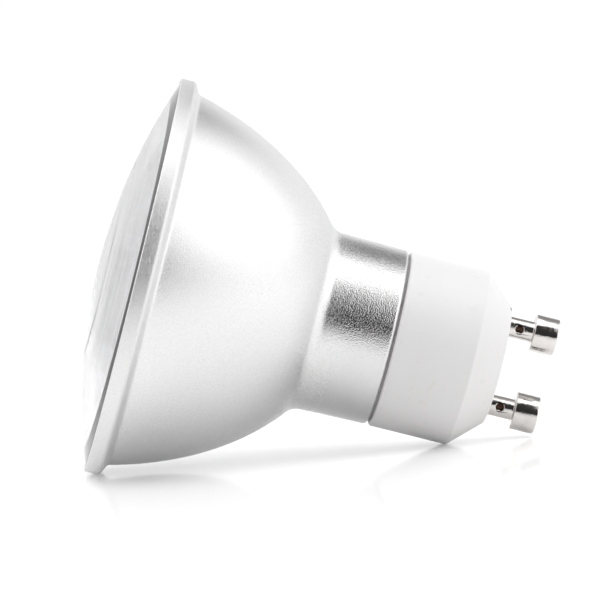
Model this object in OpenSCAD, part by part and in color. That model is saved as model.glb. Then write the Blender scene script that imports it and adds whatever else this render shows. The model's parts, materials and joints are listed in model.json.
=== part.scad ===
// Reflector lamp with a two-pin base, lying on its side. Millimetres, +Z up, floor at Z = 0.
// Each piece is drawn upright about its own axis first: z runs from the rim plane back to the pins,
// and +x is the side that faces up once the lamp is laid down. laid() then puts it on the floor.

/* [Rim] */
// Diameter of the rim
rim_d = 50.3; // [49.5:0.1:51]
// Length of the rim's straight band
rim_l = 1.8; // [1.5:0.05:2.4]
// Length of the slope behind the band
rim_slope_l = 0.85; // [0.7:0.05:1.1]
// Width of the metal lip around the glass
rim_lip = 0.4; // [0.3:0.05:0.5]
// Depth of the seat for the glass
seat_depth = 1.1; // [1.05:0.05:1.3]

/* [Bell and neck] */
// How much narrower than the rim's radius the ellipse is that the bell follows
bell_inset = 0.05; // [0:0.05:0.3]
// Half length of that ellipse
bell_half_l = 36.4; // [36:0.1:38]
// How far the ellipse's centre lies in front of the rim
bell_ahead = 9.3; // [8.8:0.1:9.6]
// Thickness of the metal
wall = 0.8; // [0.6:0.05:0.9]
// Diameter of the neck where the bell runs into it
neck_d = 22.66; // [22.5:0.02:23.2]
// Diameter of the neck at its end
neck_end_d = 22.26; // [22.2:0.02:22.5]
// Length of the neck
neck_l = 9.6; // [9:0.1:11]
// Radius of the hollow between bell and neck
neck_hollow = 2; // [1.5:0.1:2.5]

/* [Front glass] */
// Height of the dome in front of the rim plane
dome_h = 4.45; // [4:0.05:5]
// Thickness of the dome
glass_t = 1.6; // [1.2:0.1:1.8]
// Thickness of the glass at its edge
glass_edge_t = 0.9; // [0.8:0.05:0.95]
// Width of the adhesive around the glass
seal_w = 0.2; // [0.15:0.05:0.4]

/* [Ceramic base] */
// Diameter of the base
base_d = 22.36; // [22.3:0.02:22.7]
// Length of the base's straight part
base_l = 9.96; // [9.5:0.02:11]
// Length of the sloped end
slope_l = 3.9; // [3.6:0.05:4.2]
// Diameter of the end face
end_d = 15; // [14.8:0.1:15.6]
// Gap between the neck and the base
joint_gap = 0.2; // [0.1:0.05:0.4]
// Length of the spigot inside the neck
spigot_l = 8; // [7:0.1:8]
// Thickness of the cement around the spigot
bond_t = 0.2; // [0.15:0.05:0.3]
// Bore of the cup
cup_d = 16.6; // [15.6:0.1:16.8]
// Thickness of the cup's floor
floor_t = 2.5; // [2.2:0.1:2.7]

/* [Contact pins] */
// Distance between the pins
pin_pitch = 10; // [9.8:0.05:10.2]
// How far the pins stand out of the end face
pin_l = 6.4; // [6.2:0.1:7]
// Diameter of the head
head_d = 4.75; // [4.6:0.05:5]
// Length of the head
head_l = 3.05; // [2.8:0.05:3.1]
// Diameter of the shank
shank_d = 2.65; // [2.5:0.05:2.8]
// Diameter of the cross hole
cross_d = 1; // [0.9:0.05:1.2]
// Distance from the cross hole to the head
cross_to_head = 1.77; // [1.6:0.05:1.9]
// Bore of the shank
pin_bore_d = 1; // [1:0.05:1.2]
// Diameter of the collar sunk in the end face
collar_d = 3.8; // [3.6:0.1:4]
// Thickness of the collar
collar_t = 0.7; // [0.5:0.05:0.8]
// Thickness of the riveted inner end
rivet_t = 0.6; // [0.4:0.05:0.7]
// Diameter of the riveted inner end
rivet_d = 3.9; // [3.6:0.1:4.2]

/* [Capsule] */
// Diameter of the bulb
bulb_d = 10.4; // [10:0.1:11]
// Thickness of its glass
bulb_t = 0.9; // [0.7:0.05:1]
// Length from the sealed tip to the end of the pinch
capsule_l = 26; // [25.5:0.1:27]
// Length of the sealed tip
tip_l = 0.8; // [0.6:0.05:1]
// Length of the flat pinch behind the bulb
pinch_l = 7.3; // [6.8:0.1:7.6]
// Width of the pinch
pinch_w = 9.6; // [9:0.1:9.8]
// Thickness of the pinch
pinch_t = 3.6; // [3.2:0.1:3.8]
// Length of the cement around the pinch
cement_l = 5.8; // [5:0.1:6]

/* [Filament and leads] */
// Diameter of the filament's coil
coil_d = 0.9; // [0.7:0.05:1]
// Diameter of the filament's wire
filament_d = 0.18; // [0.14:0.02:0.2]
// Turns in each leg of the filament
turns = 13; // [9:1:14]
// Distance from the lamp's axis to each leg
leg_offset = 1.6; // [1.5:0.05:1.8]
// Length of each leg's straight tail
tail_l = 1.2; // [1:0.1:1.5]
// Diameter of the support wire
support_d = 0.24; // [0.2:0.02:0.3]
// Diameter of the inner leads
inner_lead_d = 0.4; // [0.3:0.05:0.5]
// Length of each sealing foil
foil_l = 4.8; // [4.2:0.1:5]
// Width of each sealing foil
foil_w = 2.2; // [1.8:0.1:2.4]
// Thickness of each sealing foil
foil_t = 0.06; // [0.04:0.01:0.1]
// How far each wire lies on its foil
foil_lap = 0.8; // [0.6:0.1:1]
// Diameter of the outer leads
outer_lead_d = 0.6; // [0.5:0.05:0.7]
// How far the outer leads stand out of the pinch
outer_lead_l = 2.4; // [2:0.1:2.6]
// Diameter of the pin wires
pin_wire_d = 0.9; // [0.6:0.05:0.9]
// Diameter of the fuse wire
fuse_d = 0.26; // [0.2:0.02:0.3]
// Bore of the sleeves
sleeve_bore = 1.2; // [1.1:0.05:1.3]
// Thickness of the sleeves
sleeve_t = 0.35; // [0.25:0.05:0.4]

/* [Hidden] */
$fn = 96;

// Steps along rounded corners, the bell, the domes and one turn of wire
corner_steps = 6;
bell_steps = 26;
dome_steps = 16;
turn_steps = 9;
crossing_steps = 12;
filament_sides = 6;
bent_wire_sides = 16;

// Clearances
bond_gap = 0.04;
weld_gap = 0.02;
pin_fit = 0.05;
overrun = 1;

// Which side of the lamp a paired piece lies on: the upper is +x before the lamp is laid down
upper = 1;
lower = -1;

// Vectors and corners of an outline
function unit(v) = v / norm(v);
function corner_half(a, b, c) = acos(unit(a - b) * unit(c - b)) / 2;
function corner_reach(a, b, c, r) = r / tan(corner_half(a, b, c));
function corner_centre(a, b, c, r) =
    b + unit(unit(a - b) + unit(c - b)) * r / sin(corner_half(a, b, c));
function short_way(a) = a > 180 ? a - 360 : a < -180 ? a + 360 : a;
function angle_of(v) = atan2(v[1], v[0]);
function corner_arc(a, b, c, r) =
    let (
        reach = corner_reach(a, b, c, r),
        centre = corner_centre(a, b, c, r),
        start = angle_of(b + unit(a - b) * reach - centre),
        sweep = short_way(angle_of(b + unit(c - b) * reach - centre) - start)
    )
    [for (i = [0:corner_steps])
        let (angle = start + sweep * i / corner_steps)
        centre + r * [cos(angle), sin(angle)]];
// An outline from corners of [x, y, radius], where a radius of zero keeps the corner sharp
function point_of(corner) = [corner[0], corner[1]];
function rounded(corners) =
    let (n = len(corners))
    [for (i = [0:n - 1])
        let (
            a = point_of(corners[(i + n - 1) % n]),
            b = point_of(corners[i]),
            c = point_of(corners[(i + 1) % n])
        )
        each corners[i][2] > 0 ? corner_arc(a, b, c, corners[i][2]) : [b]];
// Sharp corners along an arc about a point on the axis, from one angle to another off the x axis
function axis_arc(r, centre, from, to) =
    [for (i = [0:dome_steps])
        let (angle = from + (to - from) * i / dome_steps)
        [r * cos(angle), centre + r * sin(angle), 0]];

// Rim and bell
rim_round = 0.3;
lip_round = 0.15;
slope_hollow = 0.7;
slope_hollow_share = 0.5;
rim_r = rim_d / 2;
bell_half_w = rim_r - bell_inset;
seat_r = rim_r - rim_lip;
slope_end = rim_l + rim_slope_l;
function bell_r(s) = bell_half_w * sqrt(1 - pow((s + bell_ahead) / bell_half_l, 2));
function bell_s(r, inset) =
    (bell_half_l - inset) * sqrt(1 - pow(r / (bell_half_w - inset), 2)) - bell_ahead;
// Sharp corners along the ellipse between two places on the axis
function bell_line(from, to, inset) =
    let (
        half_l = bell_half_l - inset,
        start = asin((from + bell_ahead) / half_l),
        sweep = asin((to + bell_ahead) / half_l) - start
    )
    [for (i = [0:bell_steps])
        let (angle = start + sweep * i / bell_steps)
        [(bell_half_w - inset) * cos(angle), half_l * sin(angle) - bell_ahead, 0]];

// Neck: the ellipse stops short of it by a share of the hollow's radius
neck_end_round = 0.38;
inner_end_round = 0.1;
neck_hollow_share = 0.32;
neck_r = neck_d / 2;
neck_end_r = neck_end_d / 2;
neck_start = bell_s(neck_r, 0);
neck_end = neck_start + neck_l;
inner_neck_start = bell_s(neck_r - wall, wall);
inner_hollow = neck_hollow + wall;
function neck_bore_r(s) =
    neck_r - wall - (neck_r - neck_end_r) * (s - neck_start) / neck_l;

// Front glass: a sphere through the top of the dome and the edge
edge_front = 0.05;
glass_r = seat_r - seal_w;
glass_back = edge_front + glass_edge_t;
dome_rise = dome_h + edge_front;
dome_r = (pow(glass_r, 2) + pow(dome_rise, 2)) / (2 * dome_rise);
dome_centre = dome_r - dome_h;
inner_dome_r = dome_r - glass_t;

// Adhesive around and under the glass
seal_front = 0.1;
seal_foot_w = 1.1;
seal_round_share = 0.35;
seal_round = (seal_w - 2 * bond_gap) * seal_round_share;

// Ceramic base
base_front_round = 0.4;
base_edge_round = 0.5;
end_edge_round = 0.4;
spigot_round = 0.3;
cup_round = 0.8;
base_r = base_d / 2;
end_r = end_d / 2;
cup_r = cup_d / 2;
base_front = neck_end + joint_gap;
base_edge = base_front + base_l;
end_face = base_edge + slope_l;
cup_floor = end_face - floor_t;
spigot_front = base_front - spigot_l;
spigot_r = neck_bore_r(neck_end) - bond_t;
bond_front_inset = 1;
bond_back_inset = 0.3;

// Contact pins
head_round = 0.2;
recess_fit = 0.25;
head_back_round = 0.12;
rivet_round = 0.15;
bore_depth_share = 0.3;
cross_rim_share = 1.25;
pin_x = pin_pitch / 2;
head_r = head_d / 2;
shank_r = shank_d / 2;
pin_bore_r = pin_bore_d / 2;
cross_r = cross_d / 2;
collar_r = collar_d / 2;
rivet_r = rivet_d / 2;
pin_end = end_face + pin_l;
head_start = pin_end - head_l;
cross_s = head_start - cross_to_head;
collar_start = end_face - collar_t;
rivet_end = cup_floor - pin_fit;
rivet_start = rivet_end - rivet_t;
bore_end = head_start + head_l * bore_depth_share;

// Capsule: its pinch ends level with the front of the base
tip_r_share = 0.16;
tip_foot_share = 0.3;
tip_round = 0.3;
pinch_round = 0.6;
cement_inset = 1;
bulb_r = bulb_d / 2;
bulb_bore_r = bulb_r - bulb_t;
pinch_end = base_front;
bulb_back = pinch_end - pinch_l;
bulb_rear = bulb_back - bulb_r;
capsule_front = pinch_end - capsule_l;
bulb_front = capsule_front + tip_l + bulb_r;
cement_back = pinch_end - cement_inset;

// Foils and leads
foil_inset = 2;
lead_clear = 0.2;
foil_x = leg_offset + coil_d / 2;
foil_back = pinch_end - foil_inset;
foil_front = foil_back - foil_l;
inner_lead_y = (foil_t + inner_lead_d) / 2 + weld_gap;
inner_lead_x = foil_x + sqrt(pow((filament_d + inner_lead_d) / 2 + weld_gap, 2) - pow(inner_lead_y, 2));
inner_lead_front = bulb_rear + lead_clear;
outer_lead_y = (foil_t + outer_lead_d) / 2 + weld_gap;
outer_lead_end = pinch_end + outer_lead_l;

// Wires in the cup: each lies beside the outer lead, slants out to its pin and runs on along it
weld_l = 1.2;
bend_r = 1.2;
straight_l = 0.8;
pin_run = 1.6;
upper_wire_run = 2.6;
wire_past_hole = 0.45;
sleeve_from_share = 0.2;
sleeve_to_share = 0.8;
weld_start = outer_lead_end - weld_l;
slant_start = outer_lead_end + straight_l;
wire_end = cross_s + wire_past_hole;
upper_wire_start = rivet_start - upper_wire_run;
// Distance across from an outer lead to a wire of this diameter welded on its side
function weld_x(d) =
    sqrt(pow((outer_lead_d + d) / 2 + weld_gap, 2) - pow(outer_lead_y, 2));
lower_route = [
    [lower * (foil_x + weld_x(pin_wire_d)), weld_start],
    [lower * (foil_x + weld_x(pin_wire_d)), slant_start],
    [lower * pin_x, rivet_start - pin_run],
    [lower * pin_x, wire_end]
];
fuse_end_x = pin_x - (pin_wire_d + fuse_d) / 2 - weld_gap;
fuse_route = [
    [foil_x + weld_x(fuse_d), weld_start],
    [foil_x + weld_x(fuse_d), slant_start],
    [fuse_end_x, upper_wire_start - straight_l],
    [fuse_end_x, upper_wire_start + weld_l]
];

// Support wire: straight up beside the axis, then over the crossing of the filament
hook_gap = 0.06;
support_root = 1;
hook_sweep = 210;
hook_r = (filament_d + support_d) / 2 + hook_gap;
crossing_s = bulb_front - foil_x;

// Laid down, the lamp touches the floor with the back edge of its rim and the edge of its base
rim_corner = corner_centre([rim_r, 0], [rim_r, rim_l], [bell_r(slope_end), slope_end], rim_round);
base_corner = corner_centre([base_r, base_front], [base_r, base_edge], [end_r, end_face], base_edge_round);
contact_line = base_corner - rim_corner;
tilt = atan2(-contact_line[0], contact_line[1])
    - asin((base_edge_round - rim_round) / norm(contact_line));
axis_height = rim_corner[1] * sin(tilt) + rim_corner[0] * cos(tilt) + rim_round;
low_x = min(
    lip_round * cos(tilt) - (rim_r - lip_round) * sin(tilt) - lip_round,
    dome_centre * cos(tilt) - dome_r
);
high_x = (pin_end - head_round) * cos(tilt) + (pin_x + head_r - head_round) * sin(tilt) + head_round;
axis_x = -(low_x + high_x) / 2;
upright = 90;
half_turn = 180;
module laid() {
    translate([axis_x, 0, axis_height])
        rotate([half_turn, tilt - upright, 0])
            children();
}

// A tube along points in space, with its rings turned as little as possible from one to the next
function tangent(path, i) =
    unit(path[min(i + 1, len(path) - 1)] - path[max(i - 1, 0)]);
function square_to(v, t) = unit(v - t * (v * t));
function ring_sides(path) =
    [for (i = 0, n = square_to([1, 0, 0], tangent(path, 0));
        i < len(path);
        i = i + 1, n = i < len(path) ? square_to(n, tangent(path, i)) : n) n];
module tube_along(path, d, corners) {
    sides = ring_sides(path);
    last = (len(path) - 1) * corners;
    rings = [for (i = [0:len(path) - 1])
        let (across = cross(tangent(path, i), sides[i]))
        for (k = [0:corners - 1])
            let (angle = 360 * k / corners)
            path[i] + d / 2 * (cos(angle) * sides[i] + sin(angle) * across)];
    walls = [for (i = [0:len(path) - 2])
        for (k = [0:corners - 1])
            let (here = i * corners, next = (k + 1) % corners)
            [here + k, here + corners + k, here + corners + next, here + next]];
    front = [for (k = [0:corners - 1]) k];
    back = [for (k = [corners - 1:-1:0]) last + k];
    polyhedron(rings, concat([front], walls, [back]));
}

// A round wire through points of the x-z plane, bent to one radius at each
module bent_wire(route, d) {
    last = len(route) - 1;
    flat = [for (i = [0:last])
        each i == 0 || i == last ? [route[i]]
            : corner_arc(route[i - 1], route[i], route[i + 1], bend_r)];
    tube_along([for (p = flat) [p[0], 0, p[1]]], d, bent_wire_sides);
}
// A straight wire between two points of the x-z plane
module slanted_wire(from, to, d) {
    step = to - from;
    translate([from[0], 0, from[1]])
        rotate([0, atan2(step[0], step[1]), 0])
            cylinder(h = norm(step), d = d);
}
// A straight wire along the axis at a place across it
module rod(x, y, from, to, d) {
    translate([x, y, from])
        cylinder(h = to - from, d = d);
}
module sleeve(route) {
    from = route[1] + (route[2] - route[1]) * sleeve_from_share;
    to = route[1] + (route[2] - route[1]) * sleeve_to_share;
    way = unit(to - from) * overrun;
    difference() {
        slanted_wire(from, to, sleeve_bore + 2 * sleeve_t);
        slanted_wire(from - way, to + way, sleeve_bore);
    }
}

// Outer shell, drawn from one sheet
module reflector() {
    outside = concat(
        [
            [seat_r, 0, 0],
            [rim_r, 0, lip_round],
            [rim_r, rim_l, rim_round],
            [bell_r(slope_end), slope_end, slope_hollow]
        ],
        bell_line(
            slope_end + slope_hollow * slope_hollow_share,
            neck_start - neck_hollow * neck_hollow_share,
            0
        ),
        [
            [neck_r, neck_start, neck_hollow],
            [neck_end_r, neck_end, neck_end_round]
        ]
    );
    inside = concat(
        bell_line(seat_depth, inner_neck_start - inner_hollow * neck_hollow_share, wall),
        [
            [neck_bore_r(inner_neck_start), inner_neck_start, inner_hollow],
            [neck_bore_r(neck_end), neck_end, inner_end_round]
        ]
    );
    color("silver")
        laid()
            rotate_extrude()
                polygon(rounded(concat(
                    outside,
                    [for (i = [len(inside) - 1:-1:0]) inside[i]],
                    [[seat_r, seat_depth, 0]]
                )));
}

module front_glass() {
    color("lightblue", 0.3)
        laid()
            rotate_extrude()
                difference() {
                    intersection() {
                        translate([0, dome_centre])
                            circle(r = dome_r);
                        translate([0, -dome_h - overrun])
                            square([glass_r, dome_h + overrun + glass_back]);
                    }
                    translate([0, dome_centre])
                        circle(r = inner_dome_r);
                }
}

module glass_seal() {
    color("dimgray")
        laid()
            rotate_extrude()
                polygon(rounded([
                    [seat_r - bond_gap, seal_front, seal_round],
                    [seat_r - bond_gap, seat_depth, 0],
                    [seat_r - seal_foot_w, seat_depth, 0],
                    [seat_r - seal_foot_w, glass_back, 0],
                    [glass_r + bond_gap, glass_back, 0],
                    [glass_r + bond_gap, seal_front, seal_round]
                ]));
}

module ceramic_base() {
    color("whitesmoke")
        laid()
            difference() {
                rotate_extrude()
                    polygon(rounded([
                        [cup_r, spigot_front, 0],
                        [spigot_r, spigot_front, spigot_round],
                        [spigot_r, base_front, 0],
                        [base_r, base_front, base_front_round],
                        [base_r, base_edge, base_edge_round],
                        [end_r, end_face, end_edge_round],
                        [0, end_face, 0],
                        [0, cup_floor, 0],
                        [cup_r, cup_floor, cup_round]
                    ]));
                for (side = [upper, lower]) {
                    rod(side * pin_x, 0, cup_floor - overrun, end_face + overrun, shank_d + 2 * pin_fit);
                    rod(side * pin_x, 0, collar_start - pin_fit, end_face + overrun, collar_d + 2 * recess_fit);
                }
            }
}

// Ring of cement between the neck and the spigot, thicker where the neck is wider
module neck_cement() {
    front = spigot_front + bond_front_inset;
    back = neck_end - bond_back_inset;
    color("gainsboro")
        laid()
            rotate_extrude()
                polygon([
                    [spigot_r + bond_gap, front],
                    [neck_bore_r(front) - bond_gap, front],
                    [neck_bore_r(back) - bond_gap, back],
                    [spigot_r + bond_gap, back]
                ]);
}

// Cross-section of the pinch, with a clearance all round for its seat in the cement
module pinch_section(clear) {
    width = pinch_w + 2 * clear;
    depth = pinch_t + 2 * clear;
    round_r = pinch_round + clear;
    square([width - 2 * round_r, depth], center = true);
    square([width, depth - 2 * round_r], center = true);
    for (x = [-1, 1], y = [-1, 1])
        translate([x * (width / 2 - round_r), y * (depth / 2 - round_r)])
            circle(r = round_r);
}

module capsule_cement() {
    color("linen")
        laid()
            translate([0, 0, cement_back - cement_l])
                difference() {
                    cylinder(h = cement_l, r = cup_r - bond_gap);
                    translate([0, 0, -overrun])
                        linear_extrude(cement_l + 2 * overrun)
                            pinch_section(bond_gap);
                }
}

// Quartz bulb with its flat pinch, hollow inside and cut where the wires and foils are sealed in
module capsule() {
    tip_r = bulb_r * tip_r_share;
    tip_angle = acos(tip_foot_share);
    color("azure", 0.4)
        laid()
            difference() {
                union() {
                    rotate_extrude()
                        polygon(rounded(concat(
                            [[0, capsule_front, 0], [tip_r, capsule_front, tip_round]],
                            axis_arc(bulb_r, bulb_front, -tip_angle, 0),
                            axis_arc(bulb_r, bulb_rear, 0, upright)
                        )));
                    translate([0, 0, bulb_rear])
                        linear_extrude(pinch_end - bulb_rear)
                            pinch_section(0);
                }
                rotate_extrude()
                    polygon(rounded(concat(
                        axis_arc(bulb_bore_r, bulb_front, -upright, 0),
                        axis_arc(bulb_bore_r, bulb_rear, 0, upright)
                    )));
                for (side = [upper, lower]) {
                    foil(side, bond_gap);
                    inner_lead(side, bond_gap);
                    outer_lead(side, bond_gap);
                }
                support_wire(bond_gap);
            }
}

// Foil, lead and support as solids, with a clearance all round for their seats in the glass
module foil(side, clear) {
    translate([side * foil_x, 0, (foil_front + foil_back) / 2])
        cube([foil_w + 2 * clear, foil_t + 2 * clear, foil_l + 2 * clear], center = true);
}
module inner_lead(side, clear) {
    rod(side * inner_lead_x, inner_lead_y, inner_lead_front, foil_front + foil_lap + clear, inner_lead_d + 2 * clear);
}
module outer_lead(side, clear) {
    rod(side * foil_x, outer_lead_y, foil_back - foil_lap - clear, outer_lead_end, outer_lead_d + 2 * clear);
}
module support_wire(clear) {
    rod(0, hook_r, crossing_s, bulb_back + support_root + clear, support_d + 2 * clear);
}

// One wire: a coiled leg up each side of the capsule and a crossing over the top
module filament() {
    coil_r = coil_d / 2;
    leg_l = bulb_rear - bulb_front;
    steps = turns * turn_steps;
    leg = [for (i = [0:steps])
        let (angle = 360 * i / turn_steps)
        [leg_offset + coil_r * cos(angle), coil_r * sin(angle), bulb_rear - leg_l * i / steps]];
    upper_half = concat([[foil_x, 0, bulb_rear + tail_l]], leg);
    crossing = [for (i = [1:crossing_steps - 1])
        let (angle = 180 * i / crossing_steps)
        [foil_x * cos(angle), 0, bulb_front - foil_x * sin(angle)]];
    lower_half = [for (i = [len(upper_half) - 1:-1:0])
        [lower * upper_half[i][0], upper_half[i][1], upper_half[i][2]]];
    color("dimgray")
        laid()
            tube_along(concat(upper_half, crossing, lower_half), filament_d, filament_sides);
}

module filament_support() {
    color("gray")
        laid() {
            support_wire(0);
            translate([0, 0, crossing_s])
                rotate([0, -upright, 0])
                    rotate([0, 0, upright])
                        rotate_extrude(angle = hook_sweep)
                            translate([hook_r, 0])
                                circle(d = support_d);
        }
}

module inner_lead_upper() color("gray") laid() inner_lead(upper, 0);
module inner_lead_lower() color("gray") laid() inner_lead(lower, 0);
module foil_upper() color("slategray") laid() foil(upper, 0);
module foil_lower() color("slategray") laid() foil(lower, 0);
module outer_lead_upper() color("gray") laid() outer_lead(upper, 0);
module outer_lead_lower() color("gray") laid() outer_lead(lower, 0);
module fuse_wire() color("darkgray") laid() bent_wire(fuse_route, fuse_d);
module fuse_sleeve() color("ivory") laid() sleeve(fuse_route);
module wire_sleeve() color("ivory") laid() sleeve(lower_route);
module pin_wire_upper() color("peru") laid() rod(pin_x, 0, upper_wire_start, wire_end, pin_wire_d);
module pin_wire_lower() color("peru") laid() bent_wire(lower_route, pin_wire_d);

// Stepped contact pin: hollow shank riveted behind the cup's floor, with a cross hole and a head
module contact_pin(side) {
    rim_depth = cross_r * (cross_rim_share - 1);
    color("lightgray")
        laid()
            translate([side * pin_x, 0, 0])
                difference() {
                    rotate_extrude()
                        polygon(rounded([
                            [pin_bore_r, rivet_start, 0],
                            [rivet_r, rivet_start, rivet_round],
                            [rivet_r, rivet_end, 0],
                            [shank_r, rivet_end, 0],
                            [shank_r, collar_start, 0],
                            [collar_r, collar_start, 0],
                            [collar_r, end_face, 0],
                            [shank_r, end_face, 0],
                            [shank_r, head_start, head_back_round],
                            [head_r, head_start, head_back_round],
                            [head_r, pin_end, head_round],
                            [0, pin_end, 0],
                            [0, bore_end + pin_bore_r, 0],
                            [pin_bore_r, bore_end, 0]
                        ]));
                    translate([0, 0, cross_s])
                        rotate([upright, 0, 0]) {
                            cylinder(h = 2 * shank_d, d = cross_d, center = true);
                            for (turn = [0, half_turn])
                                rotate([turn, 0, 0])
                                    translate([0, 0, shank_r - rim_depth])
                                        cylinder(h = 2 * rim_depth, r1 = cross_r,
                                            r2 = cross_r + 2 * rim_depth);
                        }
                }
}
module contact_pin_upper() contact_pin(upper);
module contact_pin_lower() contact_pin(lower);

reflector();
front_glass();
glass_seal();
ceramic_base();
neck_cement();
capsule_cement();
capsule();
filament();
filament_support();
inner_lead_upper();
inner_lead_lower();
foil_upper();
foil_lower();
outer_lead_upper();
outer_lead_lower();
fuse_wire();
fuse_sleeve();
wire_sleeve();
pin_wire_upper();
pin_wire_lower();
contact_pin_upper();
contact_pin_lower();
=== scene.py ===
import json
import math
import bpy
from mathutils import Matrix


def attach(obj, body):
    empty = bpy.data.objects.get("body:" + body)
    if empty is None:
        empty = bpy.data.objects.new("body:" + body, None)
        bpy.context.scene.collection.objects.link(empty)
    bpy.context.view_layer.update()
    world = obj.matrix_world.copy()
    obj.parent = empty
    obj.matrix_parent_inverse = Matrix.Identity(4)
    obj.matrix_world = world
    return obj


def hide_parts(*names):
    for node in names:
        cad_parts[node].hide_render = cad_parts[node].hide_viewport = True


bl_info = {
    "name": "Reflector Spot Lamp",
    "version": (1, 0, 0),
    "blender": (4, 5, 0),
    "location": "View3D > Sidebar > Lamp",
    "description": "Models a 50 mm reflector lamp with a two-pin base on a white studio floor",
    "category": "Object",
}

import bmesh
import bpy
from bpy.props import FloatProperty, FloatVectorProperty, IntProperty, PointerProperty
from mathutils import Matrix, Vector, noise

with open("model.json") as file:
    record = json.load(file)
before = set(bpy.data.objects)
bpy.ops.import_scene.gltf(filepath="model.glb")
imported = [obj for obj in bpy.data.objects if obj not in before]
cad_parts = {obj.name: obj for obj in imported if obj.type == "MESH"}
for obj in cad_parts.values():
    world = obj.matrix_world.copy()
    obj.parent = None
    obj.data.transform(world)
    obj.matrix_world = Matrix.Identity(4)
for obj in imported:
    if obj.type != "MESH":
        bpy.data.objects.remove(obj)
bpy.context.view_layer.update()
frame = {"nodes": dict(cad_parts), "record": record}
MM = 0.001
BODY = "root"
# Facets around the pins and the capsule, and around the holes for the pins
FINE_STEPS = 96
HOLE_STEPS = 48


# Where the lamp lies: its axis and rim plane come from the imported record's mounts
def mount(name):
    return next(m for m in frame["record"]["mounts"] if m["name"] == name)


AXIS = Vector(mount("end_face")["axis"]).normalized()
ACROSS = Vector((0, -1, 0))
UP = ACROSS.cross(AXIS)


def length(name, description, default):
    return FloatProperty(
        name=name, description=description, default=default, unit="LENGTH", precision=5
    )


def share(name, description, default):
    return FloatProperty(
        name=name, description=description, default=default, min=0, max=1, subtype="FACTOR"
    )


def colour(name, description, default):
    return FloatVectorProperty(
        name=name, description=description, default=default, size=3, min=0, max=1, subtype="COLOR"
    )


class ReflectorSizes(bpy.types.PropertyGroup):
    rim_width: length("Rim width", "Diameter of the rim", 50.3 * MM)
    band: length("Band", "Length of the rim's straight band", 1.95 * MM)
    slope: length("Slope", "Length of the slope behind the band", 0.7 * MM)
    lip: length("Lip", "Width of the metal lip around the glass", 0.4 * MM)
    seat: length("Seat", "Depth of the seat for the glass", 1.1 * MM)
    half_width: length("Half width", "Half width of the bell's ellipse", 25.1 * MM)
    half_length: length("Half length", "Half length of the bell's ellipse", 36.4 * MM)
    ahead: length("Ahead", "How far the ellipse's centre lies in front of the rim", 9.3 * MM)
    wall: length("Wall", "Thickness of the metal", 0.8 * MM)
    neck_width: length("Neck width", "Diameter of the neck where the bell meets it", 22.66 * MM)
    neck_end_width: length("Neck end width", "Diameter of the neck at its end", 22.26 * MM)
    neck_length: length("Neck length", "Length of the neck", 9.55 * MM)
    hollow: length("Hollow", "Radius of the hollow between bell and neck", 2 * MM)
    steps: IntProperty(
        name="Steps", description="Facets around the lamp's axis", default=192, min=24
    )


class GlassSizes(bpy.types.PropertyGroup):
    dome: length("Dome", "Height of the dome in front of the rim plane", 4.45 * MM)
    thickness: length("Thickness", "Thickness of the dome", 1.6 * MM)
    edge: length("Edge", "Thickness of the glass at its edge", 0.9 * MM)
    sunk: length("Sunk", "How far the edge lies behind the rim plane", 0.05 * MM)
    seal: length("Seal", "Width of the adhesive around the glass", 0.2 * MM)
    foot: length("Foot", "Width of the adhesive under the glass", 0.4 * MM)


class BaseSizes(bpy.types.PropertyGroup):
    gap: length("Gap", "Gap between the neck and the base", 0.25 * MM)
    width: length("Width", "Diameter of the base", 22.36 * MM)
    straight: length("Straight", "Length of the straight part", 9.96 * MM)
    slope: length("Slope", "Length of the sloped end", 3.9 * MM)
    end_width: length("End width", "Diameter of the end face", 15 * MM)
    spigot: length("Spigot", "Length of the spigot inside the neck", 8 * MM)
    spigot_width: length("Spigot width", "Diameter of the spigot", 20.26 * MM)
    cup_width: length("Cup width", "Bore of the cup", 16.6 * MM)
    floor: length("Floor", "Thickness of the cup's floor", 2.5 * MM)


class CapsuleSizes(bpy.types.PropertyGroup):
    width: length("Width", "Diameter of the bulb", 10.4 * MM)
    wall: length("Wall", "Thickness of the bulb's quartz", 0.9 * MM)
    overall: length("Length", "Length from the sealed tip to the end of the pinch", 26 * MM)
    tip: length("Tip", "Length of the sealed tip", 0.8 * MM)
    pinch: length("Pinch", "Length of the flat pinch behind the bulb", 7.3 * MM)
    pinch_width: length("Pinch width", "Width of the pinch", 9.6 * MM)
    pinch_thickness: length("Pinch thickness", "Thickness of the pinch", 3.6 * MM)


class PinSizes(bpy.types.PropertyGroup):
    pitch: length("Pitch", "Distance between the pins", 10 * MM)
    standout: length("Stand-out", "How far the pins stand out of the end face", 6.4 * MM)
    head_width: length("Head width", "Diameter of the head", 4.75 * MM)
    head: length("Head", "Length of the head", 3.05 * MM)
    shank_width: length("Shank width", "Diameter of the shank", 2.65 * MM)
    hole_width: length("Hole width", "Diameter of the cross hole", 1 * MM)
    hole_to_head: length("Hole to head", "Distance from the cross hole to the head", 1.77 * MM)
    bore: length("Bore", "Bore of the shank", 1 * MM)
    collar_width: length("Collar width", "Diameter of the collar sunk in the end face", 3.8 * MM)
    collar: length("Collar", "Thickness of the collar", 0.7 * MM)
    rivet_width: length("Rivet width", "Diameter of the riveted inner end", 3.9 * MM)
    rivet: length("Rivet", "Thickness of the riveted inner end", 0.6 * MM)
    clearance: length("Clearance", "Clearance between a pin and its hole", 0.05 * MM)
    recess: length("Recess", "Gap around the collar in its recess", 0.25 * MM)


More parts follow.
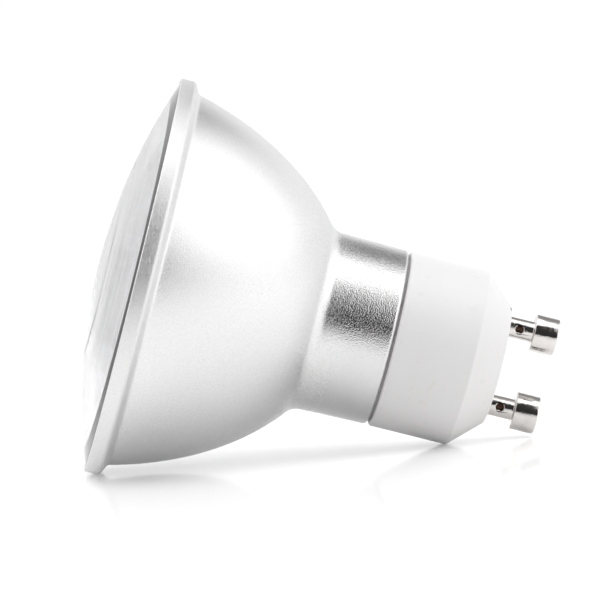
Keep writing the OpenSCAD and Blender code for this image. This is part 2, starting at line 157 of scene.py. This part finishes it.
class Finishes(bpy.types.PropertyGroup):
    metal: colour("Reflector", "Satin aluminium outside", (0.8, 0.8, 0.8))
    bell_roughness: share("Bell satin", "Roughness of the blasted bell", 0.34)
    neck_roughness: share("Neck satin", "Roughness of the drawn neck", 0.14)
    mirror: colour("Mirror", "Bright coating inside the reflector", (0.93, 0.93, 0.93))
    glass: colour("Glass", "Clear front glass", (0.87, 0.87, 0.88))
    quartz: colour("Quartz", "Clear quartz of the capsule", (0.95, 0.95, 0.95))
    # The adhesive's dark bead is painted shade of the seam between glass and rim
    seal: colour("Adhesive", "Dark bead of adhesive around the glass", (0.3, 0.3, 0.3))
    foot: colour("Adhesive's foot", "Pale adhesive under the glass", (0.82, 0.82, 0.82))
    ceramic: colour("Ceramic", "White ceramic of the base", (0.86, 0.85, 0.855))
    cement: colour("Cement", "Cement around the pinch and the spigot", (0.74, 0.71, 0.65))
    plating: colour("Plating", "Nickel plating of the pins", (0.72, 0.695, 0.675))
    # The wire ends' brown is darker than copper's own, as painted shade inside the cross holes
    copper: colour("Wire", "Brown ends of the pin wires", (0.2, 0.12, 0.085))
    tungsten: colour("Tungsten", "Dark grey wire of the filament", (0.32, 0.32, 0.33))
    lead: colour("Leads", "Grey metal of the leads and foils", (0.55, 0.55, 0.56))
    sleeve: colour("Sleeves", "Woven fibre of the sleeves", (0.85, 0.82, 0.74))


class StageSizes(bpy.types.PropertyGroup):
    floor: length("Floor", "Width of the floor", 40)
    floor_front: length("Floor's front", "How far the floor reaches in front of the lamp", 0.17)
    distance: length("Distance", "Distance from the camera to the lamp", 0.6)
    aim: FloatVectorProperty(
        name="Aim", description="Point at the middle of the picture",
        default=(-0.001816, 0, 0.019433), subtype="TRANSLATION", unit="LENGTH", precision=5,
    )
    azimuth: FloatProperty(
        name="Azimuth", description="Side of the camera", default=math.radians(-1.952),
        unit="ROTATION",
    )
    elevation: FloatProperty(
        name="Elevation", description="Height of the camera", default=math.radians(3.856),
        unit="ROTATION",
    )
    roll: FloatProperty(
        name="Roll", description="Roll of the camera", default=math.radians(-4.697),
        unit="ROTATION",
    )
    lens: FloatProperty(
        name="Lens", description="Focal length on a 36 mm sensor", default=289.1, unit="CAMERA"
    )


GROUPS = {
    "lamp_reflector": ReflectorSizes,
    "lamp_glass": GlassSizes,
    "lamp_base": BaseSizes,
    "lamp_capsule": CapsuleSizes,
    "lamp_pins": PinSizes,
    "lamp_finishes": Finishes,
    "lamp_stage": StageSizes,
}


class Value:
    """One output of a shader node, so that shader maths reads as Python."""

    def __init__(self, graph, socket):
        self.graph = graph
        self.socket = socket

    def __add__(self, other):
        return self.graph.maths("ADD", self, other)

    def __radd__(self, other):
        return self.graph.maths("ADD", other, self)

    def __sub__(self, other):
        return self.graph.maths("SUBTRACT", self, other)

    def __rsub__(self, other):
        return self.graph.maths("SUBTRACT", other, self)

    def __mul__(self, other):
        return self.graph.maths("MULTIPLY", self, other)

    def __rmul__(self, other):
        return self.graph.maths("MULTIPLY", other, self)

    def between(self, low, high, start=0.0, end=1.0):
        """A smooth step from start at low to end at high."""
        return self.graph.node(
            "ShaderNodeMapRange",
            {"interpolation_type": "SMOOTHSTEP"},
            {"Value": self, "From Min": low, "From Max": high, "To Min": start, "To Max": end},
        )


class Graph:
    """The nodes of one material or of the world."""

    def __init__(self, owner):
        owner.use_nodes = True
        self.tree = owner.node_tree
        self.tree.nodes.clear()

    def feed(self, socket, value):
        if isinstance(value, Value):
            self.tree.links.new(value.socket, socket)
        elif socket.type == "RGBA":
            socket.default_value = (*value, 1.0)[:4]
        else:
            socket.default_value = value

    def node(self, kind, settings=None, sockets=None, output=0):
        made = self.tree.nodes.new(kind)
        for name, value in (settings or {}).items():
            setattr(made, name, value)
        for name, value in (sockets or {}).items():
            self.feed(made.inputs[name], value)
        return Value(self, made.outputs[output]) if made.outputs else None

    def maths(self, operation, first, second):
        return self.node("ShaderNodeMath", {"operation": operation}, {0: first, 1: second})

    def mix(self, factor, first, second):
        """A colour between two colours."""
        return self.node(
            "ShaderNodeMix", {"data_type": "RGBA"}, {0: factor, 6: first, 7: second}, output=2
        )

    def place(self):
        """Object coordinates in metres."""
        return self.node("ShaderNodeTexCoord", output="Object")

    def lamp_place(self):
        """The same, turned so that z runs along the lamp's axis."""
        turn = LAMP.inverted()
        return self.node(
            "ShaderNodeMapping",
            {"vector_type": "POINT"},
            {
                "Vector": self.place(),
                "Location": turn.to_translation(),
                "Rotation": turn.to_euler(),
            },
        )

    def noise(self, vector, scale, detail=2.0, roughness=0.5):
        return self.node(
            "ShaderNodeTexNoise",
            None,
            {"Vector": vector, "Scale": scale, "Detail": detail, "Roughness": roughness},
        )

    def stretched(self, vector, scale):
        """The vector with each axis scaled by itself."""
        return self.node("ShaderNodeVectorMath", {"operation": "MULTIPLY"}, {0: vector, 1: scale})

    def ray(self, kind):
        return self.node("ShaderNodeLightPath", output=f"Is {kind} Ray")

    def larger(self, first, second):
        return self.maths("MAXIMUM", first, second)

    def parts(self, vector):
        """The x, y and z of a vector."""
        split = self.node("ShaderNodeSeparateXYZ", None, {"Vector": vector})
        return [Value(self, socket) for socket in split.socket.node.outputs]

    def bump(self, height, distance, strength=1.0):
        return self.node(
            "ShaderNodeBump", None, {"Height": height, "Distance": distance, "Strength": strength}
        )

    def principled(self, **sockets):
        named = {
            name.replace("_", " ").title().replace("Ior", "IOR"): value
            for name, value in sockets.items()
        }
        return self.node("ShaderNodeBsdfPrincipled", None, named)

    def surface(self, shader):
        self.node("ShaderNodeOutputMaterial", None, {"Surface": shader})


def new_material(name, build):
    """The material of that name, made on its first use."""
    if name not in bpy.data.materials:
        made = bpy.data.materials.new(name)
        build(Graph(made), bpy.context.scene.lamp_finishes)
    return bpy.data.materials[name]


def shade(tone, factor):
    """A colour, darker or lighter by a factor."""
    return [part * factor for part in tone]


def satin_aluminium(g, finish):
    place = g.place()
    grain = g.noise(place, 6200, 1.0)
    cloud = g.noise(place, 90, 3.0)
    start = neck_start(bpy.context.scene.lamp_reflector)
    # The neck is drawn smoother than the blasted bell, and the rim is dulled by handling
    along = g.parts(g.lamp_place())[2]
    drawn = along.between(start - 1.5 * MM, start + 6 * MM)
    roughness = drawn.between(0, 1, finish.bell_roughness, finish.neck_roughness)
    roughness = roughness + along.between(1.9 * MM, 3 * MM, 0.16, 0)
    speckle = grain.between(0.35, 0.65, -0.08, 0.1) * drawn.between(0, 1, 0.8, 1)
    roughness = roughness + speckle + (cloud - 0.5) * 0.04
    tone = g.mix(drawn, finish.metal, shade(finish.metal, 0.88))
    tone = g.mix(grain.between(0.35, 0.65, 0.36, 0), tone, shade(finish.metal, 0.75))
    g.surface(g.principled(
        base_color=tone, metallic=1.0, roughness=roughness,
        normal=g.bump(grain, 0.04 * MM, drawn.between(0, 1, 0.5, 1)),
    ))


def mirror_coat(g, finish):
    ripple = g.noise(g.place(), 160, 1.0)
    g.surface(g.principled(
        base_color=g.mix(ripple, shade(finish.mirror, 0.97), finish.mirror), metallic=1.0,
        roughness=ripple * 0.04 + 0.08, normal=g.bump(ripple, 0.05 * MM, 0.4),
    ))


def clear_glass(g, finish):
    haze = g.noise(g.place(), 120, 2.0)
    # Faint rings left by the mould in the bump, and darker bands in the tint that paint the
    # reflected streaks seen from the side
    rings = g.noise(g.stretched(g.lamp_place(), (25, 25, 1100)), 1.0, 2.0).between(0.36, 0.62)
    g.surface(g.principled(
        base_color=g.mix(rings, shade(finish.glass, 0.78), finish.glass),
        roughness=haze.between(0.5, 0.8, 0.0, 0.03), ior=1.47, transmission_weight=1.0,
        normal=g.bump(rings, 0.006 * MM),
    ))


def quartz(g, finish):
    haze = g.noise(g.place(), 300, 2.0)
    g.surface(g.principled(
        base_color=finish.quartz, roughness=haze.between(0.5, 0.8, 0.0, 0.005), ior=1.46,
        transmission_weight=1.0,
    ))


def adhesive(g, finish):
    lumps = g.noise(g.place(), 1400, 3.0)
    # The bead that shows is painted dark as the shade in the seam between glass and rim, and what
    # lies under the glass stays pale
    depth = g.parts(g.lamp_place())[2].between(0.06 * MM, 0.14 * MM)
    smears = g.noise(g.place(), 130, 2.0).between(0.42, 0.6)
    tone = g.mix(lumps, finish.seal, shade(finish.seal, 1.5))
    tone = g.mix(smears, shade(finish.seal, 2), tone)
    g.surface(g.principled(
        base_color=g.mix(depth, tone, finish.foot), roughness=0.55,
        normal=g.bump(lumps, 0.12 * MM),
    ))


def steatite(g, finish):
    place = g.place()
    speckle = g.noise(place, 1500, 3.0)
    cloud = g.noise(place, 70, 3.0)
    pits = g.noise(place, 900, 1.0).between(0.66, 0.74)
    stained = [part * factor for part, factor in zip(finish.ceramic, (0.975, 0.975, 0.965))]
    tone = g.mix(cloud.between(0.3, 0.7), finish.ceramic, stained)
    tone = g.mix(pits * 0.12, tone, (0.62, 0.6, 0.56))
    # A small dark spot on the edge of the end face, above the upper pin: painted shade standing
    # for the dark gap at the top of the collar's recess
    recess_shade_spot = g.node(
        "ShaderNodeVectorMath", {"operation": "DISTANCE"},
        {0: g.lamp_place(), 1: (7.1 * MM, 2.3 * MM, end_face_place() - 0.15 * MM)}, output="Value",
    )
    tone = g.mix(recess_shade_spot.between(0.3 * MM, 0.5 * MM, 1.0, 0.0), tone, (0.03, 0.03, 0.03))
    g.surface(g.principled(
        base_color=tone, roughness=speckle * 0.12 + 0.36,
        normal=g.bump(speckle - pits * 0.6, 0.012 * MM),
    ))


def rough_cement(g, finish):
    lumps = g.noise(g.place(), 1100, 5.0, 0.65)
    g.surface(g.principled(
        base_color=g.mix(lumps, shade(finish.cement, 0.82), finish.cement), roughness=0.9,
        normal=g.bump(lumps, 0.12 * MM),
    ))


def nickel(g, finish):
    along = g.stretched(g.lamp_place(), (60, 60, 9000))
    rings = g.noise(along, 1.0, 2.0)
    smudge = g.noise(g.place(), 900, 3.0)
    dents = g.noise(g.place(), 2600, 2.0)
    g.surface(g.principled(
        base_color=g.mix(smudge.between(0.4, 0.7), finish.plating, shade(finish.plating, 0.93)),
        metallic=1.0, roughness=smudge.between(0.45, 0.75, 0.09, 0.2),
        normal=g.bump(rings + dents * 5, 0.004 * MM),
    ))


def dull_wire(base, roughness, name):
    def build(g, finish):
        marks = g.noise(g.place(), 5000, 2.0)
        tone = getattr(finish, base)
        g.surface(g.principled(
            base_color=g.mix(marks, shade(tone, 0.75), tone), metallic=1.0,
            roughness=marks * 0.15 + roughness, normal=g.bump(marks, 0.01 * MM),
        ))
    return new_material(name, build)


def woven_sleeve(g, finish):
    place = g.stretched(g.lamp_place(), (2400, 2400, 2400))
    weave = g.node("ShaderNodeTexVoronoi", {"feature": "F1"}, {"Vector": place, "Scale": 1.0})
    g.surface(g.principled(
        base_color=g.mix(weave, finish.sleeve, shade(finish.sleeve, 0.7)), roughness=0.85,
        normal=g.bump(1 - weave, 0.06 * MM),
    ))


# Lamp coordinates: z runs from the rim plane back to the pins, and x is up as the lamp lies
def end_face_place():
    reflector = bpy.context.scene.lamp_reflector
    base = bpy.context.scene.lamp_base
    return neck_end(reflector) + base.gap + base.straight + base.slope


def bell_radius(r, z):
    return r.half_width * math.sqrt(1 - ((z + r.ahead) / r.half_length) ** 2)


def bell_place(r, radius, inset=0.0):
    reach = math.sqrt(1 - (radius / (r.half_width - inset)) ** 2)
    return (r.half_length - inset) * reach - r.ahead


def neck_start(r):
    return bell_place(r, r.neck_width / 2)


def neck_end(r):
    return neck_start(r) + r.neck_length


def neck_radius(r, z):
    fall = (r.neck_width - r.neck_end_width) / 2
    return r.neck_width / 2 - fall * (z - neck_start(r)) / r.neck_length


def bell_corners(r, start, end, inset=0.0, steps=64):
    """Points of the bell's ellipse between two places on the axis, as profile corners."""
    half_width, half_length = r.half_width - inset, r.half_length - inset
    first, last = (math.asin((z + r.ahead) / half_length) for z in (start, end))
    angles = [first + (last - first) * i / steps for i in range(steps + 1)]
    return [(half_width * math.cos(a), half_length * math.sin(a) - r.ahead, 0) for a in angles]


def arc_corners(radius, centre, start, end, steps):
    """Points of an arc about a point on the axis, by radius from the axis."""
    angles = [start + (end - start) * i / steps for i in range(steps + 1)]
    return [(radius * math.sin(a), centre - radius * math.cos(a), 0) for a in angles]


def round_off(bm, geom, reach, segments, affect):
    """Round edges or a profile's corners."""
    bmesh.ops.bevel(
        bm, geom=geom, offset=reach, offset_type="OFFSET", segments=segments, profile=0.5,
        affect=affect, material=-1,
    )


def lathe(corners, steps, closed=True):
    """A bmesh of a profile turned about the z axis. Each corner is radius, place and rounding."""
    bm = bmesh.new()
    points = [Vector((radius, 0, place)) for radius, place, _ in corners]
    verts = [bm.verts.new(p) for p in points]
    count = len(verts)
    for i in range(count if closed else count - 1):
        bm.edges.new((verts[i], verts[(i + 1) % count]))
    for i, (_, _, rounding) in enumerate(corners):
        if rounding:
            before, here, after = points[i - 1], points[i], points[(i + 1) % count]
            reach = rounding / math.tan((before - here).angle(after - here) / 2)
            round_off(bm, [verts[i]], reach, 6, "VERTICES")
    bmesh.ops.spin(
        bm, geom=bm.verts[:] + bm.edges[:], axis=(0, 0, 1), cent=(0, 0, 0), angle=2 * math.pi,
        steps=steps, use_merge=True,
    )
    bmesh.ops.remove_doubles(bm, verts=bm.verts[:], dist=1e-7)
    bmesh.ops.recalc_face_normals(bm, faces=bm.faces[:])
    return bm


def cut(obj, cutters, operation="DIFFERENCE"):
    """Take the cutters out of an object, or join them to it, and drop them."""
    for cutter in cutters:
        modifier = obj.modifiers.new("cut", "BOOLEAN")
        modifier.operation = operation
        modifier.solver = "EXACT"
        modifier.object = cutter
    bpy.context.view_layer.update()
    finished = obj.evaluated_get(bpy.context.evaluated_depsgraph_get())
    shape = bpy.data.meshes.new_from_object(finished)
    obj.modifiers.clear()
    obj.data = shape
    for cutter in cutters:
        bpy.data.objects.remove(cutter)


def round_hole(obj, hole, shank, place, width=0.14 * MM, near=0.02 * MM):
    """Round the mouths of a cross hole through a shank."""
    bm = bmesh.new()
    bm.from_mesh(obj.data)
    mouth = {
        v for v in bm.verts
        if abs(math.hypot(v.co.x, v.co.z - place) - hole) < near
        and abs(v.co.xy.length - shank) < near
    }
    edges = [e for e in bm.edges if set(e.verts) <= mouth and e.calc_face_angle(0) > 0.3]
    if not edges:
        raise RuntimeError("the cross hole has no mouth to round")
    round_off(bm, edges, width, 4, "EDGES")
    bm.to_mesh(obj.data)
    bm.free()


def to_object(bm, name):
    mesh = bpy.data.meshes.new(name)
    bm.to_mesh(mesh)
    bm.free()
    obj = bpy.data.objects.new(name, mesh)
    bpy.context.scene.collection.objects.link(obj)
    return obj


def set_down(obj, materials, nodes, sharp=math.radians(40)):
    """Lay a finished piece down with the lamp and give it to the frame."""
    bm = bmesh.new()
    bm.from_mesh(obj.data)
    bmesh.ops.transform(bm, matrix=LAMP, verts=bm.verts[:])
    for face in bm.faces:
        face.smooth = True
    for edge in bm.edges:
        edge.smooth = not (len(edge.link_faces) == 2 and edge.calc_face_angle(0) > sharp)
    bm.to_mesh(obj.data)
    bm.free()
    for material in materials:
        obj.data.materials.append(material)
    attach(obj, BODY)
    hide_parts(*nodes)
    return obj


class Maker:
    """What the lamp's operators share."""

    bl_options = {"REGISTER", "UNDO"}

    @classmethod
    def poll(cls, context):
        return bool(frame["nodes"])


class LAMP_OT_reflector(Maker, bpy.types.Operator):
    """Model the aluminium reflector with its rim, bell and neck"""

    bl_idname = "lamp.reflector"
    bl_label = "Reflector"

    def execute(self, context):
        r = context.scene.lamp_reflector
        rim = r.rim_width / 2
        seat = rim - r.lip
        slope_end = r.band + r.slope
        start, end = neck_start(r), neck_end(r)
        inner_start = bell_place(r, r.neck_width / 2 - r.wall, r.wall)
        inner_hollow = r.hollow + r.wall
        outside = [
            (rim, 0, 0.16 * MM),
            (rim, r.band, 0.6 * MM),
            (bell_radius(r, slope_end), slope_end, 0.6 * MM),
            *bell_corners(r, slope_end + 0.5 * MM, start - 0.64 * MM),
            (r.neck_width / 2, start, r.hollow),
            (r.neck_end_width / 2, end, 0.5 * MM),
        ]
        inside = [
            *bell_corners(r, r.seat, inner_start - 0.32 * inner_hollow, r.wall),
            (neck_radius(r, inner_start) - r.wall, inner_start, inner_hollow),
            (neck_radius(r, end) - r.wall, end, 0.1 * MM),
        ]
        bm = lathe([(seat, 0, 0.05 * MM), *outside, *reversed(inside), (seat, r.seat, 0)], r.steps)
        for face in bm.faces:
            middle = face.calc_center_median()
            shell = bell_radius(r, middle.z) if middle.z < start else neck_radius(r, middle.z)
            inner = middle.xy.length < shell - r.wall * 0.6
            face.material_index = int(middle.z > r.seat * 0.98 and inner)
        obj = to_object(bm, "reflector_shell")
        materials = [
            new_material("satin_aluminium", satin_aluminium),
            new_material("mirror_coat", mirror_coat),
        ]
        set_down(obj, materials, ["reflector"])
        return {"FINISHED"}


class LAMP_OT_front_glass(Maker, bpy.types.Operator):
    """Model the domed front glass and the adhesive that holds it, with its bead painted dark as
    the seam's shade
    """

    bl_idname = "lamp.front_glass"
    bl_label = "Front glass"

    def execute(self, context):
        r, g = context.scene.lamp_reflector, context.scene.lamp_glass
        seat = r.rim_width / 2 - r.lip
        edge = seat - g.seal
        back = g.sunk + g.edge
        rise = g.dome + g.sunk
        dome = (edge ** 2 + rise ** 2) / (2 * rise)
        centre = dome - g.dome
        inner = dome - g.thickness
        outer_end = math.asin(edge / dome)
        inner_end = math.acos((centre - back) / inner)
        outer = arc_corners(dome, centre, 0, outer_end, 40)
        outer[-1] = (*outer[-1][:2], 0.12 * MM)
        corners = [
            *outer,
            (edge, back, 0.12 * MM),
            *arc_corners(inner, centre, inner_end, 0, 36),
        ]
        bm = lathe(corners, r.steps, closed=False)
        glass = new_material("clear_glass", clear_glass)
        set_down(to_object(bm, "front_dome"), [glass], ["front_glass"])
        bead = lathe([
            (seat, g.sunk, 0.05 * MM),
            (seat, r.seat, 0),
            (seat - g.foot, r.seat, 0),
            (seat - g.foot, back, 0.05 * MM),
            (edge, back, 0),
            (edge, g.sunk, 0.05 * MM),
        ], r.steps)
        # The bead sinks and rises a little on its way round
        for vert in bead.verts:
            if vert.co.z < back * 0.8 or vert.co.xy.length < seat - g.foot * 0.9:
                wobble = noise.noise(vert.co * 420) * 0.5 + noise.noise(vert.co * 1500) * 0.3
                vert.co.z += min(0.02 * MM, wobble * 0.12 * MM)
        seal = new_material("adhesive", adhesive)
        set_down(to_object(bead, "glass_bead"), [seal], ["glass_seal"])
        return {"FINISHED"}


class LAMP_OT_base(Maker, bpy.types.Operator):
    """Model the ceramic base with its spigot, sloped end and pin holes"""

    bl_idname = "lamp.base"
    bl_label = "Ceramic base"

    def execute(self, context):
        r, b, p = context.scene.lamp_reflector, context.scene.lamp_base, context.scene.lamp_pins
        front = neck_end(r) + b.gap
        edge = front + b.straight
        end = edge + b.slope
        cup, spigot = b.cup_width / 2, b.spigot_width / 2
        bm = lathe([
            (0, end, 0),
            (b.end_width / 2, end, 0.4 * MM),
            (b.width / 2, edge, 0.5 * MM),
            (b.width / 2, front, 0.4 * MM),
            (spigot, front, 0.1 * MM),
            (spigot, front - b.spigot, 0.3 * MM),
            (cup, front - b.spigot, 0.2 * MM),
            (cup, end - b.floor, 0.8 * MM),
            (0, end - b.floor, 0),
        ], r.steps, closed=False)
        obj = to_object(bm, "base_body")
        cutters = []
        for side in (1, -1):
            shank = p.shank_width / 2 + p.clearance
            collar = p.collar_width / 2 + p.recess
            depth = end - p.collar - p.clearance
            hole = lathe([
                (0, end - b.floor - MM, 0),
                (shank, end - b.floor - MM, 0),
                (shank, depth, 0),
                (collar, depth, 0),
                (collar, end + MM, 0),
                (0, end + MM, 0),
            ], HOLE_STEPS, closed=False)
            bmesh.ops.translate(hole, verts=hole.verts[:], vec=(side * p.pitch / 2, 0, 0))
            cutters.append(to_object(hole, "hole"))
        cut(obj, cutters)
        set_down(obj, [new_material("steatite", steatite)], ["ceramic_base"])
        return {"FINISHED"}


class LAMP_OT_pins(Maker, bpy.types.Operator):
    """Model the two stepped, hollow contact pins and finish the wires inside them"""

    bl_idname = "lamp.pins"
    bl_label = "Contact pins"

    def execute(self, context):
        b, p = context.scene.lamp_base, context.scene.lamp_pins
        end = end_face_place()
        tip = end + p.standout
        head, shank, bore = p.head_width / 2, p.shank_width / 2, p.bore / 2
        rivet_end = end - b.floor - p.clearance
        bore_end = tip - p.head * 0.7
        hole, hole_place = p.hole_width / 2, tip - p.head - p.hole_to_head
        for side, node in ((1, "contact_pin_upper"), (-1, "contact_pin_lower")):
            bm = lathe([
                (0, bore_end + bore, 0),
                (bore, bore_end, 0),
                (bore, rivet_end - p.rivet, 0.08 * MM),
                (p.rivet_width / 2, rivet_end - p.rivet, 0.15 * MM),
                (p.rivet_width / 2, rivet_end, 0.05 * MM),
                (shank, rivet_end, 0),
                (shank, end - p.collar, 0),
                (p.collar_width / 2, end - p.collar, 0.05 * MM),
                (p.collar_width / 2, end, 0.08 * MM),
                (shank, end, 0.05 * MM),
                (shank, tip - p.head, 0.12 * MM),
                (head, tip - p.head, 0.14 * MM),
                (head, tip, 0.2 * MM),
                (0, tip, 0),
            ], FINE_STEPS, closed=False)
            obj = to_object(bm, "pin_" + node.split("_")[-1])
            drill = lathe([
                (0, -shank - MM, 0),
                (hole, -shank - MM, 0),
                (hole, shank + MM, 0),
                (0, shank + MM, 0),
            ], HOLE_STEPS, closed=False)
            across = Matrix.Rotation(math.pi / 2, 3, "X")
            bmesh.ops.rotate(drill, verts=drill.verts[:], cent=(0, 0, 0), matrix=across)
            bmesh.ops.translate(drill, verts=drill.verts[:], vec=(0, 0, hole_place))
            cut(obj, [to_object(drill, "drill")])
            round_hole(obj, hole, shank, hole_place)
            for vert in obj.data.vertices:
                vert.co.x += side * p.pitch / 2
            set_down(obj, [new_material("nickel", nickel)], [node])
        # The wire ends take copper brown darkened as painted shade inside the cross holes
        wire = dull_wire("copper", 0.4, "copper_wire")
        for node in ("pin_wire_upper", "pin_wire_lower"):
            finish_node(node, wire)
        return {"FINISHED"}


def finish_node(node, material):
    """Give a node that stays as it is its own material."""
    data = frame["nodes"][node].data
    data.materials.clear()
    data.materials.append(material)


class LAMP_OT_capsule(Maker, bpy.types.Operator):
    """Model the quartz capsule with its sealed tip and its flat pinch"""

    bl_idname = "lamp.capsule"
    bl_label = "Capsule"

    def execute(self, context):
        scene = context.scene
        c = scene.lamp_capsule
        end = neck_end(scene.lamp_reflector) + scene.lamp_base.gap
        front = end - c.overall
        radius = c.width / 2
        bulb_front, bulb_rear = front + c.tip + radius, end - c.pinch - radius
        upright = math.pi / 2
        bulb = lathe([
            (0, front, 0),
            (radius * 0.16, front, 0.3 * MM),
            *arc_corners(radius, bulb_front, math.asin(0.3), upright, 24),
            *arc_corners(radius, bulb_rear, upright, math.pi, 24),
        ], FINE_STEPS, closed=False)
        bore = lathe([
            *arc_corners(radius - c.wall, bulb_front, 0, upright, 24),
            *arc_corners(radius - c.wall, bulb_rear, upright, math.pi, 24),
        ], FINE_STEPS, closed=False)
        pinch = bmesh.new()
        bmesh.ops.create_cube(pinch, size=1)
        bmesh.ops.scale(
            pinch, vec=(c.pinch_width, c.pinch_thickness, end - bulb_rear), verts=pinch.verts[:]
        )
        bmesh.ops.translate(pinch, vec=(0, 0, (end + bulb_rear) / 2), verts=pinch.verts[:])
        long_edges = [e for e in pinch.edges if abs(e.verts[0].co.z - e.verts[1].co.z) > MM]
        round_off(pinch, long_edges, 0.6 * MM, 4, "EDGES")
        obj = to_object(bulb, "quartz_capsule")
        cut(obj, [to_object(pinch, "pinch")], "UNION")
        cut(obj, [to_object(bore, "bore")])
        set_down(obj, [new_material("quartz", quartz)], ["capsule"])
        return {"FINISHED"}


class LAMP_OT_inside(Maker, bpy.types.Operator):
    """Finish the filament, leads and foils, the cements and the sleeves"""

    bl_idname = "lamp.inside"
    bl_label = "Inside"

    def execute(self, context):
        tungsten = dull_wire("tungsten", 0.4, "tungsten")
        lead = dull_wire("lead", 0.3, "lead_metal")
        for node in ("filament", "filament_support"):
            finish_node(node, tungsten)
        for node in frame["nodes"]:
            if "lead" in node or node.startswith("foil") or node == "fuse_wire":
                finish_node(node, lead)
        for node in ("neck_cement", "capsule_cement"):
            finish_node(node, new_material("rough_cement", rough_cement))
        for node in ("fuse_sleeve", "wire_sleeve"):
            finish_node(node, new_material("woven_sleeve", woven_sleeve))
        return {"FINISHED"}


class LAMP_OT_stage(Maker, bpy.types.Operator):
    """Lay the white floor, light it and set up the camera"""

    bl_idname = "lamp.stage"
    bl_label = "Stage"

    def execute(self, context):
        s = context.scene.lamp_stage
        bm = bmesh.new()
        bmesh.ops.create_grid(bm, x_segments=1, y_segments=1, size=s.floor / 2)
        bmesh.ops.translate(bm, verts=bm.verts[:], vec=(0, s.floor / 2 - s.floor_front, 0))
        floor = to_object(bm, "studio_floor")
        floor.data.materials.append(new_material("white_floor", white_floor))
        context.scene.world = bpy.data.worlds.new("studio")
        studio_light(Graph(context.scene.world))
        context.scene.view_settings.view_transform = "Standard"
        back = Vector((
            math.sin(s.azimuth) * math.cos(s.elevation),
            -math.cos(s.azimuth) * math.cos(s.elevation),
            math.sin(s.elevation),
        ))
        camera = bpy.data.objects.new("camera", bpy.data.cameras.new("camera"))
        context.scene.collection.objects.link(camera)
        right = (-back).cross(Vector((0, 0, 1))).normalized()
        turn = Matrix((right, back.cross(right), back)).transposed()
        camera.matrix_world = (
            Matrix.Translation(Vector(s.aim) + back * s.distance)
            @ turn.to_4x4()
            @ Matrix.Rotation(s.roll, 4, "Z")
        )
        camera.data.sensor_width = 36
        camera.data.lens = s.lens
        camera.data.clip_start = 0.01
        context.scene.camera = camera
        return {"FINISHED"}


def white_floor(g, finish):
    seen = g.ray("Camera") + g.larger(g.ray("Glossy"), g.ray("Transmission")) * 0.7
    gloss = g.principled(base_color=(0.94, 0.94, 0.94), roughness=0.1, ior=1.15)
    lift = g.node("ShaderNodeEmission", None, {"Color": (1, 1, 1), "Strength": seen * 0.17})
    g.surface(g.node("ShaderNodeAddShader", None, {0: gloss, 1: lift}))


def studio_light(g):
    """White background for what is looked at directly, soft boxes and dark boards for the rest."""
    towards = g.node("ShaderNodeTexCoord", output="Generated")
    x, y, z = g.parts(towards)

    def inside(value, low, high, soft):
        """1 between two limits, with a soft edge outside each."""
        return value.between(low - soft, low) * value.between(high, high + soft, 1.0, 0.0)

    def soft_box(reach):
        """A round soft box, brightest in its middle."""
        aimed = g.node(
            "ShaderNodeVectorMath", {"operation": "DOT_PRODUCT"},
            {0: towards, 1: Vector(reach).normalized()}, output="Value",
        )
        return aimed.between(math.cos(math.radians(50)), math.cos(math.radians(20)))

    # A wide board in front and a narrow one behind draw the dark bands on the neck and the pins
    front = y.between(-0.5, -0.2, 1.0, 0.0)
    front = front * inside(x, -0.4, 0.4, 0.15) * inside(z, -0.4, 0.75, 0.05)
    behind = y.between(0.1, 0.2) * inside(x, 0.16, 0.5, 0.06) * inside(z, 0.5, 0.88, 0.06)
    low = z.between(0.2, 0.35, 1.0, 0.0)
    light = (
        z.between(0, 0.4, 0.8, 0.97)
        + soft_box((0.75, -0.3, 0.6)) * 0.75
        + soft_box((-0.6, -0.2, 0.75)) * 0.6
        + z.between(0.86, 0.97) * 0.6
        + y.between(0.2, 0.5) * low
    )
    light = light * (1 - front * 0.96) * (1 - behind * 0.65)
    # Metal, glass and the polished floor show the white background too
    backdrop = y.between(0.1, 0.3)
    mirrored = g.ray("Glossy") * backdrop * low
    direct = g.larger(g.ray("Camera"), g.larger(g.ray("Transmission") * backdrop, mirrored))
    strength = direct + (1 - direct) * light
    background = g.node("ShaderNodeBackground", None, {"Color": (1, 1, 1), "Strength": strength})
    g.node("ShaderNodeOutputWorld", None, {"Surface": background})


OPERATORS = (
    LAMP_OT_reflector,
    LAMP_OT_front_glass,
    LAMP_OT_base,
    LAMP_OT_pins,
    LAMP_OT_capsule,
    LAMP_OT_inside,
    LAMP_OT_stage,
)


class LAMP_PT_panel(bpy.types.Panel):
    """The lamp's sizes, finishes and pieces"""

    bl_idname = "LAMP_PT_panel"
    bl_label = "Reflector spot lamp"
    bl_space_type = "VIEW_3D"
    bl_region_type = "UI"
    bl_category = "Lamp"

    def draw(self, context):
        for name, group in GROUPS.items():
            box = self.layout.box()
            for prop in group.__annotations__:
                box.prop(getattr(context.scene, name), prop)
        for operator in OPERATORS:
            self.layout.operator(operator.bl_idname)


def register():
    for cls in (*GROUPS.values(), *OPERATORS, LAMP_PT_panel):
        bpy.utils.register_class(cls)
    for name, group in GROUPS.items():
        setattr(bpy.types.Scene, name, PointerProperty(type=group))


def unregister():
    for name in GROUPS:
        delattr(bpy.types.Scene, name)
    for cls in reversed((*GROUPS.values(), *OPERATORS, LAMP_PT_panel)):
        bpy.utils.unregister_class(cls)


def main():
    global LAMP
    register()
    # From lamp coordinates to the frame's: the rim plane lies a fixed way in front of the end face
    origin = Vector(mount("end_face")["pos_m"]) - AXIS * end_face_place()
    LAMP = Matrix.Translation(origin) @ Matrix((UP, ACROSS, AXIS)).transposed().to_4x4()
    for operator in OPERATORS:
        name = operator.bl_idname.split(".")[1]
        if getattr(bpy.ops.lamp, name)() != {"FINISHED"}:
            raise RuntimeError(f"{operator.bl_label} wasn't finished")


if __name__ == "__main__":
    main()
